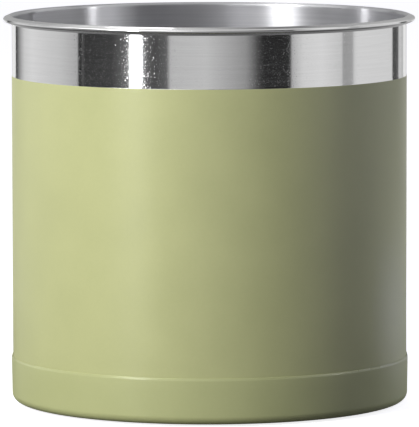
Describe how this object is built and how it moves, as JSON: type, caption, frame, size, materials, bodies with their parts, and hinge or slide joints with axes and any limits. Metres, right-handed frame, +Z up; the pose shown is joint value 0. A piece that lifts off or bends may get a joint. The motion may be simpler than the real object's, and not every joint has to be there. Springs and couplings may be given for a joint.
{
  "type": "rotating utensil holder",
  "caption": "Round steel utensil holder with a rolled bare rim and a coated wall that turns on a weighted ball-bearing base pan.",
  "frame": {"origin": "on the table under the middle of the base, where the turning axis meets the feet's plane", "axes": "+Z up along the turning axis; the camera of the picture looks along +Y, with +X to its right"},
  "size_m": [0.1844, 0.1844, 0.1739],
  "materials": {
    "stainless": "polished outside with fine level brush lines, satin brushed inside",
    "colour_coat": "satin powder coat over the stainless wall, soft pale green",
    "coated_steel": "satin powder coat on drawn steel, the same pale green",
    "zinc_steel": "bright zinc plate",
    "spring_steel": "oiled dark spring steel",
    "ball_steel": "ground bearing steel",
    "cast_iron": "black lacquer over rough casting",
    "nylon": "natural moulded nylon",
    "rubber": "matt moulded rubber"
  },
  "bodies": {
    "base": {"base_pan": "coated_steel", "base_weight": "cast_iron", "weight_screws": "zinc_steel", "rubber_feet": "rubber", "lower_race": "zinc_steel", "lower_race_screws": "zinc_steel", "pivot_bush": "nylon"},
    "cage": {"ball_cage": "nylon", "bearing_balls": "ball_steel"},
    "holder": {"holder_shell": "stainless", "colour_coat": "colour_coat", "swivel_plate": "zinc_steel", "upper_race": "zinc_steel", "upper_race_screws": "zinc_steel", "pivot_stud": "zinc_steel", "thrust_washer": "zinc_steel", "disc_spring": "spring_steel", "lock_nut": "zinc_steel"}
  },
  "joints": [
    {"name": "holder_spin", "type": "hinge", "parent": "base", "child": "holder", "pos_m": [0, 0, 0], "axis": [0, 0, 1], "continuous": true},
    {"name": "cage_orbit", "type": "hinge", "parent": "base", "child": "cage", "pos_m": [0, 0, 0], "axis": [0, 0, 1], "continuous": true}
  ],
  "couplings": [
    {"joint": "cage_orbit", "follows": "holder_spin", "ratio": 0.5}
  ]
}
